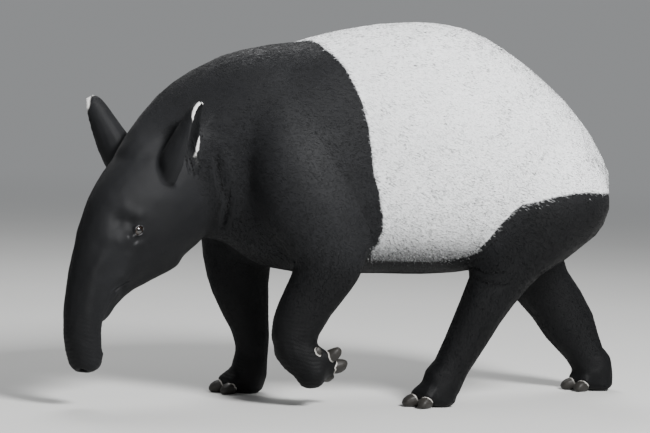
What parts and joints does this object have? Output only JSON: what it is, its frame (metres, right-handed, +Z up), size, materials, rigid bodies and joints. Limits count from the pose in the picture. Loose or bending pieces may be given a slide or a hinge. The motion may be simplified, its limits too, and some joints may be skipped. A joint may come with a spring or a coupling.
{
  "type": "malayan tapir figure",
  "caption": "Still life-size tapir in mid walk, nose lowered, one forefoot lifted, black with a pale saddle.",
  "frame": {"origin": "on the floor under the middle of the animal's outline", "axes": "+X towards the tail, -Y towards the animal's left side, +Z up; the head is at -X"},
  "size_m": [1.7226, 0.6, 1.0882],
  "materials": {
    "black_coat": "short flat black hair with a soft sheen",
    "white_coat": "short flat pale grey hair",
    "eye_brown": "wet and glossy",
    "hoof_horn": "grey-brown horn, satin"
  },
  "bodies": {
    "root": {"ear_left": "black_coat", "ear_right": "black_coat", "eye_left": "eye_brown", "eye_right": "eye_brown", "forefoot_left": "black_coat", "forefoot_right": "black_coat", "foreleg_left": "black_coat", "foreleg_right": "black_coat", "head": "black_coat", "hindfoot_left": "black_coat", "hindfoot_right": "black_coat", "hindleg_left": "black_coat", "hindleg_right": "black_coat", "hoof_forefoot_left_inner": "hoof_horn", "hoof_forefoot_left_middle": "hoof_horn", "hoof_forefoot_left_outer": "hoof_horn", "hoof_forefoot_left_side": "hoof_horn", "hoof_forefoot_right_inner": "hoof_horn", "hoof_forefoot_right_middle": "hoof_horn", "hoof_forefoot_right_outer": "hoof_horn", "hoof_forefoot_right_side": "hoof_horn", "hoof_hindfoot_left_inner": "hoof_horn", "hoof_hindfoot_left_middle": "hoof_horn", "hoof_hindfoot_left_outer": "hoof_horn", "hoof_hindfoot_right_inner": "hoof_horn", "hoof_hindfoot_right_middle": "hoof_horn", "hoof_hindfoot_right_outer": "hoof_horn", "neck": "black_coat", "snout": "black_coat", "tail": "black_coat", "torso": "white_coat"}
  },
  "joints": []
}
